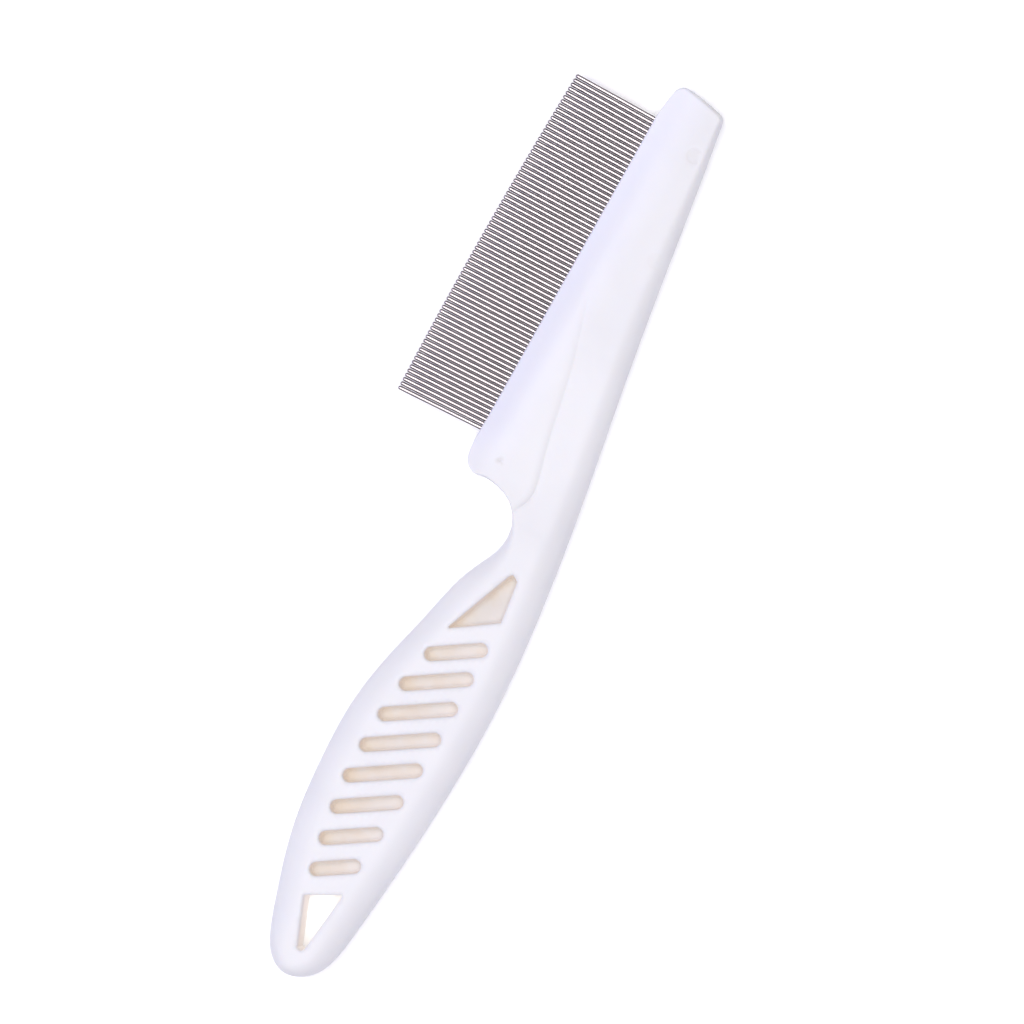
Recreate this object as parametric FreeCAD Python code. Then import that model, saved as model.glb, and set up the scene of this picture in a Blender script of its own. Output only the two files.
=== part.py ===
"""Flea comb: a moulded plastic handle that holds a row of 75 fine steel pins.

Working frame, in millimetres: X runs from the tooth tips (-X) to the spine (+X), Y along the tooth
row from the grip's butt (-Y) to the head's free tip (+Y), and Z out of the broad faces. X = 0 is the
edge of the head that the pins leave, Y = 0 is the grip end of the tooth row, and Z = 0 is the
parting plane that halves the handle. The finished parts are shifted so that the origin is the
middle of the comb's outline on the surface that it lies on.
"""
import FreeCAD, Part
import math
import os

Vector = FreeCAD.Vector

# Tooth pins: drawn steel wire with domed tips, moulded into the head.
PIN_COUNT = 75
PINS_PER_NODE = 3
PIN_DIAMETER = 0.8
PIN_LENGTH = 26.4
PIN_PITCH = 0.914  # between roots, at the edge of the head
FIRST_PIN_Y = 0.40
FAN_AT_GRIP = 3.2  # degrees from the X axis, for the first pin
FAN_AT_TIP = 0.35  # degrees, for the last pin
TIP_LINE_X = -18.45  # where the longest pins end
TIP_LINE_BOW = 0.6  # how far the row's ends fall back from that line
TIP_LINE_MIDDLE_Y = 30.0
TIP_LINE_HALF_LENGTH = 35.0

# Handle: stations are (Y, value) pairs, with a smooth curve between them. The blank runs past the
# free tip, which is then cut to its outline.
BUTT_Y = -108.9
GRIP_HALF_THICKNESS = 5.2
FACE_CROWN = 0.015  # cut off the blank's faces, which leaves the grip's faces truly flat
BUTT_ROUNDING = 5.4  # length over which the butt's faces roll over
BUTT_EDGE = 0.08  # share of the thickness that is left at the very end of the butt

SPINE_EDGE = [
    (-108.9, 18.9), (-108.6, 20.2), (-107.9, 21.9), (-106.4, 23.6), (-103.0, 25.3), (-96.0, 26.6),
    (-88.0, 27.45), (-76.0, 28.35), (-64.0, 28.95), (-54.0, 29.2), (-44.0, 29.0), (-32.0, 28.2),
    (-20.0, 26.6), (0.0, 23.4), (20.0, 19.85), (40.0, 16.55), (60.0, 13.6), (78.0, 10.8),
]
GRIP_FRONT_EDGE = [
    (-108.9, 17.6), (-108.5, 16.4), (-107.6, 15.2), (-106.2, 13.9), (-103.0, 12.0), (-96.0, 9.5),
    (-84.0, 6.05), (-72.0, 4.5), (-62.0, 4.1), (-52.0, 4.6), (-40.0, 7.35), (-32.0, 9.25),
    (-26.0, 10.8),
]
# Up to Y = -8.5 this edge lies inside the finger notch, which is cut afterwards.
HEAD_FRONT_EDGE = [
    (-26.0, 10.8), (-18.0, 9.5), (-12.0, 6.0), (-8.5, 3.2), (-6.5, 1.0), (-4.5, 0.25), (-2.5, 0.0),
    (70.0, -0.3), (78.0, -0.3),
]
HALF_THICKNESS = [
    (-20.0, GRIP_HALF_THICKNESS + FACE_CROWN), (2.0, 4.3), (40.0, 3.95), (78.0, 2.6), (90.0, 2.2),
]
SPINE_ROUNDING = [(-24.0, 5.2), (0.0, 4.6), (40.0, 3.8), (60.0, 2.8), (78.0, 1.6)]
FRONT_ROUNDING = [(-24.0, 5.2), (-8.0, 6.2), (60.0, 6.2), (78.0, 3.6)]
FRONT_WALL = [(-24.0, 0.5), (-8.0, 1.75), (70.0, 1.75), (78.0, 1.6)]
FRONT_FULLNESS = [(-24.0, 1.0), (-8.0, 0.0)]  # 1 is a round side, 0 the flat bevel by the teeth
WIDEST_ROUNDING = 0.48  # of the width, which leaves a strip of flat face between two roundings
SIDE_WALL = 0.5  # half the height of the upright strip along the spine
HIGHEST_WALL = 0.4  # of the half thickness, for an upright strip on either side
BUTT_START_Y = -103.0
BUTT_STEPS = 9
LOFT_STATIONS = [
    -103.0, -96.0, -88.0, -78.0, -68.0, -58.0, -48.0, -38.0, -32.0, -27.0, -22.0, -18.0, -14.0,
    -11.0, -8.5, -6.5, -4.5, -2.5, 2.0, 10.0, 18.0, 26.0, 34.0, 42.0, 50.0, 58.0, 66.0, 72.0, 78.0,
]
ROUND = 0.5523  # Bezier handle length that makes a quarter circle
BEVEL_RUN = 0.42  # Bezier handles of the toothed bevel: along and up at its foot, along at its top
BEVEL_LIFT = 0.55
BEVEL_LAND = 0.35
MAIN_DEGREE = 5
BUTT_DEGREE = 3
# The free tip's outline: arcs from the first point to the third, on to the fifth, to the seventh.
TIP_OUTLINE = [
    (-0.2, 71.0), (0.45, 74.8), (2.8, 76.2), (6.4, 75.85), (9.8, 75.15), (11.1, 74.3), (11.45, 73.0),
]
TIP_START_Y = 60.0  # the blank is trimmed to that outline from here on
CLEAR = 40.0  # how far the trimming tools reach beyond the part
ABOVE = 9.0  # a height over every face

# Finger notch: a waisted roller's shape, so that its rims are rounded for the finger.
NOTCH_CENTRE = (7.3, -14.9)
NOTCH_RADIUS = 7.2
NOTCH_WALL = 1.4  # half the height of its upright wall
NOTCH_ROUNDING = 2.6
NOTCH_LOWER_DIRECTION = (-0.425, -0.905)  # towards the grip's shoulder
NOTCH_REACH = 14.0

# Head plate: its face rolls down into a crease that fades out towards the tip.
CREASE_LINE = [
    (-11.0, 14.15), (-7.2, 14.6), (-1.0, 13.95), (8.1, 11.85), (19.1, 9.6), (33.0, 5.45), (39.0, 4.0),
]
CREASE_DEPTH = [(-11.0, 0.45), (8.0, 0.4), (30.0, 0.18), (39.0, -0.03)]
CREASE_SHOULDER = 1.5  # width of the plate's rolled edge
CREASE_LEAN = 0.15  # how far the crease's steep side leans back per millimetre
LEAST_CREASE_SLOPE = 0.02
CREASE_STATIONS = [-11.0, -7.2, -4.0, -1.0, 3.5, 8.1, 13.6, 19.1, 26.0, 33.0, 36.0, 39.0]

# Grip pockets, cut from both faces and leaving a web between them.
POCKET_DEPTH = 3.3
SLOT_WIDTH = 2.8
SLOT_ANGLE = 33.7  # degrees from the X axis
SLOT_FIRST_Y = -39.03
SLOT_PITCH = 6.74
SLOT_CENTRE_X = [17.2, 16.7, 16.45, 16.4, 16.4, 16.7, 17.05, 17.4]
SLOT_LENGTH = [12.3, 14.4, 15.5, 15.8, 15.5, 14.2, 12.5, 10.0]
# Both are triangles with one blunt corner.
RECESS_CORNERS = [
    (18.8, -21.64), (19.44, -20.85), (20.79, -21.61), (21.99, -29.96), (13.3, -36.1),
]
HANG_HOLE_CORNERS = [
    (14.7, -93.7), (21.35, -90.0), (19.99, -102.5), (19.57, -103.33), (18.52, -103.13),
]
WINDOW_CORNER_RADIUS = 0.25


def along(y, stations):
    """The value at y of a smooth curve through stations that doesn't overshoot them."""

    def rise(i):
        return (stations[i + 1][1] - stations[i][1]) / (stations[i + 1][0] - stations[i][0])

    def slope(i):
        if i in (0, len(stations) - 1):
            return 0.0
        before, after = rise(i - 1), rise(i)
        return 2 * before * after / (before + after) if before * after > 0 else 0.0

    if y <= stations[0][0]:
        return stations[0][1]
    if y >= stations[-1][0]:
        return stations[-1][1]
    i = max(k for k in range(len(stations)) if stations[k][0] <= y)
    (start, low), (end, high) = stations[i], stations[i + 1]
    span = end - start
    t = (y - start) / span
    ease = t * t * (3 - 2 * t)
    bend = (t - 1) ** 2 * t * slope(i) + (t - 1) * t * t * slope(i + 1)
    return low + (high - low) * ease + span * bend


def fair_curve(stations):
    """A cubic spline whose parameter is Y, so that value(y).y is the edge's X there."""
    curve = Part.BSplineCurve()
    points = [Vector(y, x, 0) for y, x in stations]
    curve.interpolate(Points=points, Parameters=[y for y, _ in stations])
    return curve


SPINE_CURVE = fair_curve(SPINE_EDGE)
GRIP_FRONT_CURVE = fair_curve(GRIP_FRONT_EDGE)
CREASE_CURVE = fair_curve(CREASE_LINE)


def side_edges(y):
    """X of the front edge and of the spine at y."""
    on_grip = y < HEAD_FRONT_EDGE[0][0]
    front = GRIP_FRONT_CURVE.value(y).y if on_grip else along(y, HEAD_FRONT_EDGE)
    return front, SPINE_CURVE.value(y).y


def half_thickness(y):
    """From the parting plane to the face, with the butt's rolled end."""
    past = max((BUTT_Y + BUTT_ROUNDING - y) / BUTT_ROUNDING, 0)
    end = math.sqrt(max(1 - past**2, 0))
    return along(y, HALF_THICKNESS) * max(end, BUTT_EDGE)


def front_curve(y):
    """The control points (x, z) of the front side's rounding or bevel, from its wall to the face."""
    left, right = side_edges(y)
    width = min(along(y, FRONT_ROUNDING), WIDEST_ROUNDING * (right - left))
    face = half_thickness(y)
    wall = min(along(y, FRONT_WALL), HIGHEST_WALL * face)
    full = along(y, FRONT_FULLNESS)
    flat = 1 - full
    return [
        (left, wall),
        (left + flat * BEVEL_RUN * width, wall + (full * ROUND + flat * BEVEL_LIFT) * (face - wall)),
        (left + width * (1 - full * ROUND - flat * BEVEL_LAND), face),
        (left + width, face),
    ]


def spine_curve(y):
    """The control points (x, z) of the spine side's rounding, from the face to its wall."""
    left, right = side_edges(y)
    width = min(along(y, SPINE_ROUNDING), WIDEST_ROUNDING * (right - left))
    face = half_thickness(y)
    wall = min(SIDE_WALL, HIGHEST_WALL * face)
    return [
        (right - width, face),
        (right - width * (1 - ROUND), face),
        (right, wall + ROUND * (face - wall)),
        (right, wall),
    ]


def face_height(x, y):
    """Height of the upper face over the parting plane at a point left of the spine's rounding."""
    curve = front_curve(y)
    if x >= curve[-1][0]:
        return curve[-1][1]
    low, high = 0.0, 1.0
    for _ in range(40):
        t = (low + high) / 2
        weights = ((1 - t) ** 3, 3 * t * (1 - t) ** 2, 3 * t * t * (1 - t), t**3)
        reach = sum(w * point[0] for w, point in zip(weights, curve))
        low, high = (t, high) if reach < x else (low, t)
    return sum(w * point[1] for w, point in zip(weights, curve))


def bezier(points, y):
    curve = Part.BezierCurve()
    curve.setPoles([Vector(x, y, z) for x, z in points])
    return curve.toShape()


def straight(start, end, y):
    return Part.makeLine(Vector(start[0], y, start[1]), Vector(end[0], y, end[1]))


def half_section(y):
    """The upper half of the handle's cross-section at y."""
    front, spine = front_curve(y), spine_curve(y)
    left, right = (front[0][0], 0.0), (spine[-1][0], 0.0)
    return Part.Wire([
        straight(left, front[0], y),
        bezier(front, y),
        straight(front[-1], spine[0], y),
        bezier(spine, y),
        straight(spine[-1], right, y),
        straight(right, left, y),
    ])


def both_halves(upper):
    """A solid made from its upper half and that half's mirror image in the parting plane."""
    return upper.fuse(upper.mirror(Vector(0, 0, 0), Vector(0, 0, 1))).removeSplitter()


def trimming_block():
    """What the upper half is kept inside: the tip's outline, and the grip's flat face on top."""
    tip = [Vector(x, y, 0) for x, y in TIP_OUTLINE]
    first, last = tip[0], tip[-1]
    corners = [
        last,
        Vector(CLEAR, last.y, 0),
        Vector(CLEAR, TIP_START_Y, 0),
        Vector(-CLEAR, TIP_START_Y, 0),
        Vector(-CLEAR, first.y, 0),
        first,
    ]
    edges = [Part.Arc(*tip[i:i + 3]).toShape() for i in (0, 2, 4)]
    edges += [Part.makeLine(start, end) for start, end in zip(corners, corners[1:])]
    head = Part.Face(Part.Wire(Part.__sortEdges__(edges))).extrude(Vector(0, 0, GRIP_HALF_THICKNESS))
    length = TIP_START_Y - BUTT_Y + CLEAR
    corner = Vector(-CLEAR, BUTT_Y - CLEAR, 0)
    grip = Part.makeBox(2 * CLEAR, length, GRIP_HALF_THICKNESS, corner)
    return head.fuse(grip).removeSplitter()


def notch_cutter():
    """The upper half of the finger notch: a waisted roller with two waisted channels leading out."""
    flare = NOTCH_RADIUS + NOTCH_ROUNDING
    crown = NOTCH_WALL + NOTCH_ROUNDING
    middle = math.sqrt(0.5) * NOTCH_ROUNDING

    def side(sign):
        return [
            Vector(sign * NOTCH_RADIUS, 0, 0),
            Vector(sign * NOTCH_RADIUS, 0, NOTCH_WALL),
            Vector(sign * (flare - middle), 0, NOTCH_WALL + middle),
            Vector(sign * flare, 0, crown),
            Vector(sign * flare, 0, ABOVE),
        ]

    def outline(points):
        return [
            Part.makeLine(points[0], points[1]),
            Part.Arc(points[1], points[2], points[3]).toShape(),
            Part.makeLine(points[3], points[4]),
        ]

    right, left = side(1), side(-1)
    foot, head = Vector(0, 0, 0), Vector(0, 0, ABOVE)
    half = [Part.makeLine(foot, right[0])] + outline(right) + [
        Part.makeLine(right[4], head), Part.makeLine(head, foot)
    ]
    roller = Part.Face(Part.Wire(half)).revolve(foot, Vector(0, 0, 1), 360)
    whole = outline(right) + outline(left) + [
        Part.makeLine(left[0], right[0]), Part.makeLine(left[4], right[4])
    ]
    channel = Part.Face(Part.Wire(Part.__sortEdges__(whole))).extrude(Vector(0, NOTCH_REACH, 0))
    shapes = [roller]
    for direction in ((-1.0, 0.0), NOTCH_LOWER_DIRECTION):
        turned = channel.copy()
        turned.rotate(foot, Vector(0, 0, 1), math.degrees(math.atan2(-direction[0], direction[1])))
        shapes.append(turned)
    cutter = shapes[0].fuse(shapes[1:])
    cutter.translate(Vector(NOTCH_CENTRE[0], NOTCH_CENTRE[1], 0))
    return cutter


def crease_cutter():
    """A shallow groove along the crease: a gentle slope on the plate's side, a wall on the other."""
    height = 1.0
    reach = 3 * CREASE_SHOULDER
    rings = []
    for y in CREASE_STATIONS:
        x = CREASE_CURVE.value(y).y
        bottom = face_height(x, y) - along(y, CREASE_DEPTH)
        slope = (face_height(x - CREASE_SHOULDER, y) - bottom) / CREASE_SHOULDER
        far = bottom + reach * max(slope, LEAST_CREASE_SLOPE)
        corners = [
            Vector(x, y, bottom),
            Vector(x + CREASE_LEAN * height, y, bottom + height),
            Vector(x - reach, y, far + height),
            Vector(x - reach, y, far),
        ]
        rings.append(Part.makePolygon(corners + corners[:1]))
    return Part.makeLoft(rings, True, False)


def slot_cutter(x, y, length):
    """A round-ended pocket from above the face down to the web."""
    floor = GRIP_HALF_THICKNESS - POCKET_DEPTH
    height = ABOVE - floor
    radius = SLOT_WIDTH / 2
    half = length / 2 - radius
    bar = Part.makeBox(2 * half, SLOT_WIDTH, height, Vector(-half, -radius, floor))
    ends = [Part.makeCylinder(radius, height, Vector(side * half, 0, floor)) for side in (-1, 1)]
    slot = bar.fuse(ends).removeSplitter()
    slot.rotate(Vector(0, 0, 0), Vector(0, 0, 1), SLOT_ANGLE)
    slot.translate(Vector(x, y, 0))
    return slot


def window_cutter(outline, bottom):
    """A prism with rounded upright edges, from above the face down to bottom."""
    corners = [Vector(x, y, bottom) for x, y in outline]
    face = Part.Face(Part.makePolygon(corners + corners[:1]))
    block = face.extrude(Vector(0, 0, ABOVE - bottom))
    upright = [edge for edge in block.Edges if edge.BoundBox.ZLength > 1]
    return block.makeFillet(WINDOW_CORNER_RADIUS, upright)


def pin(index):
    """One tooth: a straight wire from its root inside the head to its domed tip."""
    share = index / (PIN_COUNT - 1)
    angle = math.radians(FAN_AT_GRIP + (FAN_AT_TIP - FAN_AT_GRIP) * share)
    direction = Vector(math.cos(angle), math.sin(angle), 0)
    y = FIRST_PIN_Y + index * PIN_PITCH
    bow = TIP_LINE_BOW * ((y - TIP_LINE_MIDDLE_Y) / TIP_LINE_HALF_LENGTH) ** 2
    reach = (TIP_LINE_X + bow) / direction.x
    tip = Vector(0, y, 0) + direction * reach
    radius = PIN_DIAMETER / 2
    centre = tip + direction * radius
    wire = Part.makeCylinder(radius, PIN_LENGTH - radius, centre, direction)
    return wire.fuse(Part.makeSphere(radius, centre, direction * -1)).removeSplitter()


def loft(stations, degree):
    return Part.makeLoft([half_section(y) for y in stations], True, False, False, degree)


def make_blank():
    """The upper half of the handle before anything is cut: its long body and its round butt."""
    turns = [math.pi / 2 * step / BUTT_STEPS for step in range(BUTT_STEPS + 1)]
    butt = [BUTT_Y + (BUTT_START_Y - BUTT_Y) * (1 - math.cos(turn)) for turn in turns]
    return loft(LOFT_STATIONS, MAIN_DEGREE).fuse(loft(butt, BUTT_DEGREE))


def make_handle(pins):
    """The handle, with a bore for the root of every pin."""
    upper = make_blank().common(trimming_block())
    upper = upper.cut(notch_cutter())
    upper = upper.cut(crease_cutter())
    for number, (x, length) in enumerate(zip(SLOT_CENTRE_X, SLOT_LENGTH)):
        upper = upper.cut(slot_cutter(x, SLOT_FIRST_Y - number * SLOT_PITCH, length))
    upper = upper.cut(window_cutter(RECESS_CORNERS, GRIP_HALF_THICKNESS - POCKET_DEPTH))
    upper = upper.cut(window_cutter(HANG_HOLE_CORNERS, 0))
    return both_halves(upper).cut(pins)


def main():
    pins = [pin(index) for index in range(PIN_COUNT)]
    nodes = {"handle": make_handle(pins)}
    for first in range(0, PIN_COUNT, PINS_PER_NODE):
        name = f"tooth_pins_{first + 1:02d}_to_{first + PINS_PER_NODE:02d}"
        nodes[name] = Part.makeCompound(pins[first:first + PINS_PER_NODE])
    box = Part.makeCompound(list(nodes.values())).optimalBoundingBox(False)
    shift = Vector(-box.Center.x, -box.Center.y, GRIP_HALF_THICKNESS)
    os.makedirs("parts", exist_ok=True)
    for name, shape in nodes.items():
        shape.translate(shift)
        shape.exportStep(f"parts/{name}.step")
    print("shift", shift, "size", box.XLength, box.YLength, box.ZLength)
    handle = nodes["handle"]
    print("handle", handle.isValid(), len(handle.Solids), len(handle.Faces), handle.Volume)


main()
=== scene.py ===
"""Looks of the flea comb: a white moulded handle skin and 75 polished wire teeth.

Everything is laid out in the comb's own plan, in millimetres: X from the tooth tips (-X) to the spine,
Y along the tooth row from the grip's butt to the head's free tip, Z out of the upper face, with
X = 0 on the edge that the teeth leave, Y = 0 at the grip end of the row and Z = 0 on the parting
plane. place() moves such points into the row frame, in metres.
"""
import math

import bpy
import numpy as np
from mathutils import Matrix, Vector
from mathutils.geometry import delaunay_2d_cdt


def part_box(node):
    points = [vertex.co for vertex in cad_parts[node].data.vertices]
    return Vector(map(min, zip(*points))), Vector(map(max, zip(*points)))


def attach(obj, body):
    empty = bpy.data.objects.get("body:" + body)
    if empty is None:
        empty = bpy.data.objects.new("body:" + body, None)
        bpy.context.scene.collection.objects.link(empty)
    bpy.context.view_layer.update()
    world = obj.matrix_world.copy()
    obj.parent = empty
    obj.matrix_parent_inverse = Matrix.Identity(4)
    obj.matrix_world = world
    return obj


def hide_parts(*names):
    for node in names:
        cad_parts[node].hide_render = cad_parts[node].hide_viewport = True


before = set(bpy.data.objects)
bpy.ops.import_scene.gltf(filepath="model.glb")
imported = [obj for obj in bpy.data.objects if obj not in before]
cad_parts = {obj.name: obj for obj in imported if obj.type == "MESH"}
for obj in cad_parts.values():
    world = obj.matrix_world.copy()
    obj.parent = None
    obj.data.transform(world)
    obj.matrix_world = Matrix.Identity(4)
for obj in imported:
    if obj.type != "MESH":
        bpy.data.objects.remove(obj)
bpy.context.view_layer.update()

MM = 0.001

# ---------------------------------------------------------------- driving dimensions, millimetres

SPINE_X = 29.2
TIP_Y = 76.2

# The outline, clockwise from the free tip's spine corner: (x, y, width of the rounded side).
SPINE = [
    (11.45, 73.0, 0.8), (13.55, 60.0, 1.9), (16.55, 40.0, 3.4), (19.85, 20.0, 4.3),
    (23.45, 0.0, 4.7), (26.6, -20.0, 5.2), (28.75, -40.0, 5.4), (29.2, -56.0, 5.4),
    (28.35, -76.0, 5.4), (26.55, -96.0, 4.7),
]
BUTT = [
    (25.15, -103.6, 3.6), (22.5, -107.4, 2.5), (18.3, -108.9, 2.1), (14.55, -107.0, 2.7),
    (12.1, -103.2, 3.9),
]
GRIP_FRONT = [
    (9.5, -96.0, 5.4), (6.1, -84.0, 5.4), (4.35, -70.0, 5.4), (4.25, -56.0, 5.4),
    (6.35, -44.0, 5.4), (8.3, -36.0, 5.4), (10.1, -28.2, 5.0), (12.0, -23.1, 4.4),
]
NOTCH = [
    (13.75, -19.4, 3.2), (14.6, -15.6, 1.6), (13.7, -11.7, 0.6), (11.2, -8.95, 0.4),
    (8.0, -7.75, 0.4), (5.0, -7.5, 0.4), (3.0, -7.75, 0.4),
]
NOSE = [(1.2, -6.75, 0.5), (0.25, -4.7, 0.5), (0.0, -2.5, 0.5)]
FREE_TIP = [
    (-0.28, 69.0, 0.5), (0.1, 71.9, 0.5), (0.45, 74.2, 0.6), (0.85, 75.3, 0.8), (1.5, 75.95, 0.9),
    (2.5, 76.15, 0.8), (5.3, 75.87, 0.7), (8.5, 75.25, 0.7), (10.1, 74.88, 0.7), (10.9, 74.42, 0.7),
    (11.3, 73.8, 0.7), (11.45, 73.0, 0.8),
]

# Heights over the parting plane: (y, z) stations.
FACE_HEIGHT = [(-20.0, 5.2), (2.0, 4.3), (40.0, 3.95), (78.0, 2.6), (90.0, 2.2)]
SIDE_WALL = 0.45
TOOTH_WALL = [(-6.0, 3.7), (5.0, 1.75), (70.0, 1.75), (77.0, 1.7)]
BEVEL_WIDTH = 6.4
BEVEL_FLAT_SHARE = 0.42
TOOTH_EDGE_RADIUS = 0.3
BLEND = 0.35
BLEND_FADE = 1.0  # distance from the outline over which the blend grows to its full width
TOOTH_EDGE_LEAN = 0.3  # how far the toothed edge leans towards the tips over its length
TOOTH_EDGE_START_Y = -2.5
TOOTH_EDGE_RUN = 75.0
BEVEL_START_Y = -12.0
CLEAR_OF_FACE = 5.0  # added where a height must not be the lower of two

# The head plate stands a little proud of the spine, up to a crease that fades out near mid head.
CREASE = [
    (13.5, -10.5), (14.95, -7.1), (14.2, -0.85), (11.95, 8.25), (9.6, 19.2), (5.4, 33.1), (4.0, 38.6),
]
PLATE_STEP = [(-9.0, 0.36), (8.0, 0.32), (28.0, 0.18), (39.0, 0.0)]
PLATE_SHOULDER = 1.8
CREASE_DEPTH = [(-8.0, 0.08), (-3.0, 0.02), (28.0, 0.01), (39.0, 0.0)]
CREASE_WIDTH = 0.16
CREASE_TILT = 0.955  # distance from the crease, per millimetre along X
PLATE_OVERRUN = 6.0  # how far the plate goes on before the crease's first point
LINE_OVERRUN = 3.0  # and the fine line at its foot

# Pockets in both faces of the grip, and the hang hole.
WEB_HALF = 1.9
SLOT_WIDTH = 2.8
SLOT_ANGLE = math.radians(33.7)
SLOT_FIRST_Y = -39.03
SLOT_PITCH = 6.74
SLOT_CENTRE_X = [17.2, 16.7, 16.45, 16.4, 16.4, 16.7, 17.05, 17.4]
SLOT_LENGTH = [12.3, 14.4, 15.5, 15.8, 15.5, 14.2, 12.5, 10.0]
RECESS = [(18.8, -21.64), (19.44, -20.85), (20.79, -21.61), (21.99, -29.96), (13.3, -36.1)]
HANG_HOLE = [(14.7, -93.7), (21.35, -90.0), (19.99, -102.5), (19.57, -103.33), (18.52, -103.13)]
WINDOW_CORNER = 0.25
LEAST_CORNER = 0.12
RIM_RADIUS = 0.2
POCKET_DRAFT = 0.2
POCKET_WALL_SHARES = (0.3, 0.6)  # of the wall's height, where it has rings
HOLE_WALL_SHARES = (0.5, 1.0)
FLOOR_RADIUS = 0.45
SIDE_CROWN = 0.02  # straight sides bow out by this much
HOLE_DRAFT = 0.22

# Painted warm shade: a darker beige that stands in for light passed through the thin plastic and for
# shade in the pockets and the hole. Painted glow: emission on the walls that stands in for light coming
# through them.
HOLE_PAINTED_SHADE = 0.25
HOLE_PAINTED_GLOW = 0.8
WALL_PAINTED_GLOW = 0.75
RIM_PAINTED_GLOW = 0.25
WALL_PAINTED_SHADE_AT_TOP = 0.4  # share of the floor's painted shade at a wall's top
SLOT_PAINTED_SHADE = 0.54
SLOT_PAINTED_SHADE_FALL = 0.3  # from one end of a slot to the other
SLOT_END_START = 0.55  # share of the half length where the ends' extra painted shade begins
SLOT_END_PAINTED_SHADE = 0.4  # rise per half length from there
RECESS_PAINTED_SHADE = 0.42
RECESS_SIDE_PAINTED_SHADE = 0.5  # added at the recess's long front side
RECESS_SIDE_WIDTH = 1.6  # and gone at this distance from it

# Round marks of the ejector pins and the small pit: (x, y, radius, depth, how much warmer and darker they
# are drawn).
EJECTOR_MARKS = [(10.0, 65.5, 1.6, 0.05, 0.07), (13.48, 44.42, 1.6, 0.025, 0.03)]
SMALL_PIT = (6.4, -3.07, 0.4, 0.1, 0.12)
MARK_SLOPE = 0.1  # half the width of an ejector mark's sloping edge

# Painted cool light: the thin edge by the teeth is drawn lavender and brighter, standing in for the cool
# light from the left.
PAINTED_COOL_LIGHT_WIDTH = 9.0  # how far in from the teeth the painted cool light reaches
PAINTED_COOL_LIGHT_FADE = 9.0  # and how far before the row's grip end that begins

# Teeth.
PIN_COUNT = 75
PINS_PER_NODE = 3
PIN_RADIUS = 0.4
PIN_LENGTH = 26.4
PIN_PITCH = 0.914
FIRST_PIN_Y = 0.40
FAN_AT_GRIP = math.radians(3.2)
FAN_AT_TIP = math.radians(0.35)
TIP_LINE_X = -18.45
TIP_LINE_BOW = 0.6
TIP_LINE_MIDDLE_Y = 30.0
TIP_LINE_HALF_LENGTH = 35.0

# Mesh: how close its points lie, and where they lie closer.
BODY_SAMPLES, TIP_SAMPLES, EDGE_SAMPLES = 9000, 1500, 800
OUTLINE_STEP = 0.45
CORNER_STEP = 0.25
TIP_CORNER_Y = 71.5
NOSE_CORNER_X = 4.0
NOSE_CORNER_Y = (-9.0, -1.5)
CREASE_START_STEP = 0.14
CREASE_START = (13.3, -9.8)
CREASE_START_REACH = 2.2
RUN_STEP = 0.28
ARC_STEP = math.radians(12)
LEAST_ARC_STEPS = 4
GRID_STEP = 0.8
POCKET_GRID_STEP = 0.6
RING_INSETS = [0.0, 0.02, 0.07, 0.15, 0.27, 0.42, 0.62, 0.88, 1.2, 1.6]
BORDER_CLEARANCE, HOLE_CLEARANCE = 0.45, 0.4  # in steps of the lattice
DETAIL_CLEARANCE = 0.28
DETAIL_BORDER_CLEARANCE = 0.12
CREASE_STEP = 0.45
CREASE_END = 1.5  # its mesh points go on this far past its last point
CREASE_SIDES = [-1.6, -1.3, -1.0, -0.7, -0.42, -0.2, -0.06, 0.02, 0.1, 0.18, 0.3]
MARK_STEP = 0.2
LEAST_MARK_RADIUS = 0.6  # smaller rings have as many points as one of this size
PIT_SHARES = [0.3, 0.6, 0.85, 1.0]
RIM_STEPS = 4
FLOOR_STEPS = 5
DEPTH_TRIALS = np.linspace(1.0, 0.1, 19)  # shares of the full inset
DEPTH_PASS = 0.995  # an inset point is clear when it is this share of its depth from the outline
DEPTH_MARGIN = 0.85  # a point that fails is taken back to this share of the trial
DEPTH_SPREAD = 6  # outline points on each side that share the least depth
DEPTH_SMOOTH = 4  # outline points on each side that the mean then takes in
SEAM_HEIGHT = 0.05  # the side's lowest ring stands this far over the parting plane
SEAM_OUTSET = 0.03  # the parting line stands out by this much
SEAM_LIMIT = 1e-9  # vertices below this height lie on the parting plane
HANDLE_SHARP = math.radians(55)  # sharper bends show as edges
PIN_SHARP = math.radians(50)
PIN_SIDES = 24
DOME_STEPS = 6
PIN_STATIONS = [2.0, 6.0, 10.0, 14.0, 18.0, 22.0, PIN_LENGTH]
BLOCK = 2000  # points handled at a time
TINY = 1e-6
MERGE_DISTANCE = 1e-5  # points closer than this count as one

handle_low, handle_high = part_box("handle")
ORIGIN = Vector((
    handle_high.x - SPINE_X * MM, handle_high.y - TIP_Y * MM, (handle_low.z + handle_high.z) / 2,
))


def place(points):
    """Plan points in millimetres as row-frame points in metres."""
    return np.asarray(points, float) * MM + np.array(ORIGIN)


# ---------------------------------------------------------------- curves


def level_curve(stations):
    """A function of y through (y, value) stations that doesn't overshoot and is level at its ends."""
    ys = np.array([s[0] for s in stations], float)
    values = np.array([s[1] for s in stations], float)
    rise = np.diff(values) / np.diff(ys)
    slopes = np.zeros(len(ys))
    same = rise[:-1] * rise[1:] > 0
    total = np.where(same, rise[:-1] + rise[1:], 1.0)
    slopes[1:-1] = np.where(same, 2 * rise[:-1] * rise[1:] / total, 0.0)

    def value(y):
        y = np.clip(y, ys[0], ys[-1])
        i = np.clip(np.searchsorted(ys, y, side="right") - 1, 0, len(ys) - 2)
        span = ys[i + 1] - ys[i]
        t = (y - ys[i]) / span
        ease = t * t * (3 - 2 * t)
        bend = (t - 1) ** 2 * t * slopes[i] + (t - 1) * t * t * slopes[i + 1]
        return values[i] + (values[i + 1] - values[i]) * ease + span * bend

    return value


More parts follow.
